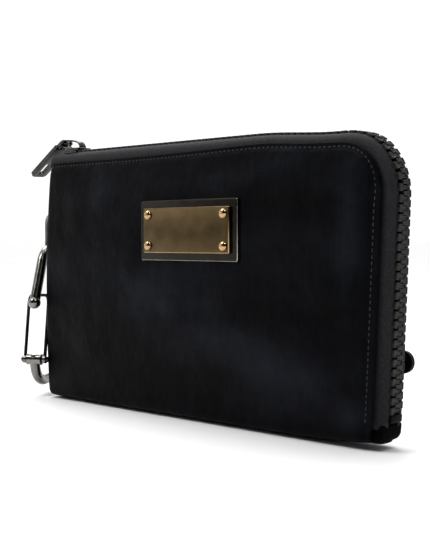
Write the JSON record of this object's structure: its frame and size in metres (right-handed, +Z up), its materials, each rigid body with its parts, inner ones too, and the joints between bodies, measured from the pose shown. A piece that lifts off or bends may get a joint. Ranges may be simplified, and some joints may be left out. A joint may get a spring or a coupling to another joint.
{
  "type": "zippered pouch",
  "caption": "Flat standing fabric pouch with an L-shaped zip, a riveted metal plate, a carabiner on a side ring and a hand strap behind.",
  "frame": {"origin": "on the base, under the middle of the pouch", "axes": "+X to the right along the width, +Y from the front panel to the back panel, +Z up"},
  "size_m": [0.2454, 0.0363, 0.1373],
  "materials": {
    "nylon": "satin woven nylon",
    "foam": "felted",
    "lining": "plain woven",
    "zip_tape": "woven tape",
    "zip_teeth": "moulded, dark gunmetal",
    "chrome_dark": "polished gunmetal",
    "gunmetal": "polished dark",
    "gold": "satin gold",
    "leather": "smooth black"
  },
  "bodies": {
    "pouch": {"front_panel": "nylon", "back_panel": "nylon", "front_padding": "foam", "back_padding": "foam", "front_lining": "lining", "back_lining": "lining", "zip_tape_front": "zip_tape", "zip_tape_back": "zip_tape", "zip_teeth_front": "zip_teeth", "zip_teeth_back": "zip_teeth", "zip_top_stops": "zip_teeth", "zip_bottom_stop": "zip_teeth", "zip_start_tab": "nylon", "zip_end_tab": "nylon", "base_plate": "gunmetal", "face_plate": "gold", "plate_rivets": "gold", "backing_plate": "gunmetal", "side_tab": "leather", "tab_rivets": "gunmetal", "strap_rivet": "gunmetal"},
    "slider": {"slider_body": "chrome_dark", "slider_base": "chrome_dark", "slider_bridge": "chrome_dark"},
    "puller_bar": {"puller": "chrome_dark"},
    "ring": {"d_ring": "chrome_dark"},
    "carabiner": {"carabiner_body": "chrome_dark", "gate_pin": "chrome_dark"},
    "gate": {"carabiner_gate": "chrome_dark"},
    "strap": {"hand_strap": "leather", "snap_cap": "gunmetal", "snap_stud": "gunmetal"}
  },
  "joints": [
    {"name": "slider_travel", "type": "slide", "parent": "pouch", "child": "slider", "axis": [1, 0, 0], "range_m": [0, 0.162], "deforming": ["zip_teeth_front", "zip_teeth_back", "zip_tape_front", "zip_tape_back"]},
    {"name": "puller_swing", "type": "hinge", "parent": "slider", "child": "puller_bar", "pos_m": [-0.1015, 0, 0.1346], "axis": [0, 1, 0], "range_deg": [0, 140]},
    {"name": "ring_swing", "type": "hinge", "parent": "pouch", "child": "ring", "pos_m": [-0.11656, 0.00581, 0.0854], "axis": [0, 0, 1], "range_deg": [-50, 0]},
    {"name": "carabiner_swing", "type": "hinge", "parent": "ring", "child": "carabiner", "pos_m": [-0.12364, 0.00757, 0.07425], "axis": [-0.9703, 0.2419, 0], "range_deg": [0, 20]},
    {"name": "gate_open", "type": "hinge", "parent": "carabiner", "child": "gate", "pos_m": [-0.11159, -0.01329, 0.02], "axis": [-0.866, -0.5, 0], "range_deg": [0, 22], "stiffness_Nm_per_rad": 0.02, "springref_deg": -28.65},
    {"name": "strap_swing", "type": "hinge", "parent": "pouch", "child": "strap", "pos_m": [-0.091, 0.01245, 0.07], "axis": [0, -1, 0], "range_deg": [0, 70]}
  ]
}
